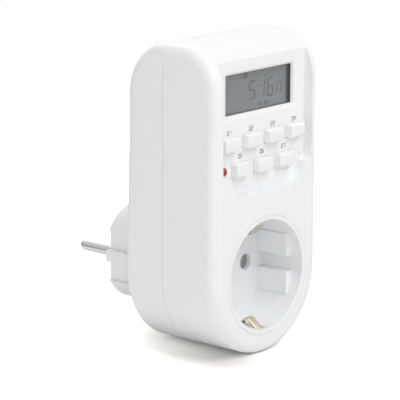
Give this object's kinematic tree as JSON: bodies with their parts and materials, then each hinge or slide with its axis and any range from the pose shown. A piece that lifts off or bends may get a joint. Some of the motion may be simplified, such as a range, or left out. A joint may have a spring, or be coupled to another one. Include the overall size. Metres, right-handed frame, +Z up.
{
  "type": "plug-in timer",
  "caption": "Plug-in weekly timer: a white round-bottomed housing with a sunk display and keypad above a round earthed socket, and a two-pin plug on its back.",
  "frame": {"origin": "on the plug's axis, in the plane of the housing's rear face", "axes": "+X to the right as the front is seen, +Y out of the back along the pins, +Z up towards the display"},
  "size_m": [0.058, 0.0814, 0.114],
  "materials": {
    "shell_plastic": "satin white moulding",
    "socket_plastic": "satin white moulding",
    "button_plastic": "fine matt white",
    "inner_plastic": "plain moulding",
    "dark_plastic": "black moulding",
    "lens": "clear",
    "lcd_glass": "grey liquid-crystal glass",
    "rubber": "silicone",
    "strip_rubber": "layered silicone",
    "contact_brass": "bright",
    "clip_brass": "tinned, with a warm tint",
    "pin_nickel": "nickel plated",
    "screw_steel": "zinc plated",
    "spring_steel": "drawn wire",
    "board": "green solder resist over glass fibre",
    "resin": "black resin blob",
    "relay_case": "blue case",
    "film_case": "yellow epoxy case",
    "can_sleeve": "aluminium can in a black sleeve",
    "varistor_coat": "blue epoxy coat",
    "resistor_coat": "pale green flameproof coat",
    "diode_body": "black body",
    "cell_steel": "nickel-plated steel can",
    "link_copper": "tinned copper wire",
    "wire_brown": "brown insulation",
    "wire_blue": "blue insulation",
    "led_lens": "red tinted lens"
  },
  "bodies": {
    "housing": {"board_link_wires": "link_copper", "board_screws": "screw_steel", "case_screws": "screw_steel", "cell_tabs": "clip_brass", "contact_carrier": "inner_plastic", "controller_chip": "resin", "display_contact_strips": "strip_rubber", "display_window": "lens", "dropper_capacitor": "film_case", "front_cover": "shell_plastic", "fuse_resistor": "resistor_coat", "keypad_mat": "rubber", "lcd_holder": "dark_plastic", "lcd_panel": "lcd_glass", "line_contact": "contact_brass", "line_feed_wire": "wire_brown", "logic_board": "board", "neutral_contact": "contact_brass", "neutral_feed_wire": "wire_blue", "neutral_link_wire": "wire_blue", "plug_earth_clip": "clip_brass", "plug_pins": "pin_nickel", "power_board": "board", "quartz_crystal": "cell_steel", "rear_cover": "shell_plastic", "rectifier_diodes": "diode_body", "relay": "relay_case", "reset_switch": "dark_plastic", "shutter_spring": "spring_steel", "smoothing_capacitor": "can_sleeve", "socket_cup": "socket_plastic", "socket_earth_clip": "clip_brass", "standby_cell": "cell_steel", "status_led": "led_lens", "switched_line_wire": "wire_brown", "varistor": "varistor_coat"},
    "button_clock": {"button_clock": "button_plastic"},
    "button_hour": {"button_hour": "button_plastic"},
    "button_minute": {"button_minute": "button_plastic"},
    "button_mode": {"button_mode": "button_plastic"},
    "button_program": {"button_program": "button_plastic"},
    "button_recall": {"button_recall": "button_plastic"},
    "button_week": {"button_week": "button_plastic"},
    "reset_button": {"reset_button": "button_plastic"},
    "shutter": {"shutter": "inner_plastic"}
  },
  "joints": [
    {"name": "clock_press", "type": "slide", "parent": "housing", "child": "button_clock", "axis": [0, 1, 0], "range_m": [0, 0.0008], "stiffness_N_per_m": 900, "springref_m": -0.0004, "deforming": ["keypad_mat"]},
    {"name": "hour_press", "type": "slide", "parent": "housing", "child": "button_hour", "axis": [0, 1, 0], "range_m": [0, 0.0008], "stiffness_N_per_m": 900, "springref_m": -0.0004, "deforming": ["keypad_mat"]},
    {"name": "minute_press", "type": "slide", "parent": "housing", "child": "button_minute", "axis": [0, 1, 0], "range_m": [0, 0.0008], "stiffness_N_per_m": 900, "springref_m": -0.0004, "deforming": ["keypad_mat"]},
    {"name": "mode_press", "type": "slide", "parent": "housing", "child": "button_mode", "axis": [0, 1, 0], "range_m": [0, 0.0008], "stiffness_N_per_m": 900, "springref_m": -0.0004, "deforming": ["keypad_mat"]},
    {"name": "program_press", "type": "slide", "parent": "housing", "child": "button_program", "axis": [0, 1, 0], "range_m": [0, 0.0008], "stiffness_N_per_m": 900, "springref_m": -0.0004, "deforming": ["keypad_mat"]},
    {"name": "recall_press", "type": "slide", "parent": "housing", "child": "button_recall", "axis": [0, 1, 0], "range_m": [0, 0.0008], "stiffness_N_per_m": 900, "springref_m": -0.0004, "deforming": ["keypad_mat"]},
    {"name": "week_press", "type": "slide", "parent": "housing", "child": "button_week", "axis": [0, 1, 0], "range_m": [0, 0.0008], "stiffness_N_per_m": 900, "springref_m": -0.0004, "deforming": ["keypad_mat"]},
    {"name": "reset_press", "type": "slide", "parent": "housing", "child": "reset_button", "axis": [0, 1, 0], "range_m": [0, 0.0005], "stiffness_N_per_m": 900, "springref_m": -0.0004},
    {"name": "shutter_slide", "type": "slide", "parent": "housing", "child": "shutter", "axis": [1, 0, 0], "range_m": [0, 0.0064], "stiffness_N_per_m": 60, "springref_m": -0.002, "deforming": ["shutter_spring"]}
  ]
}
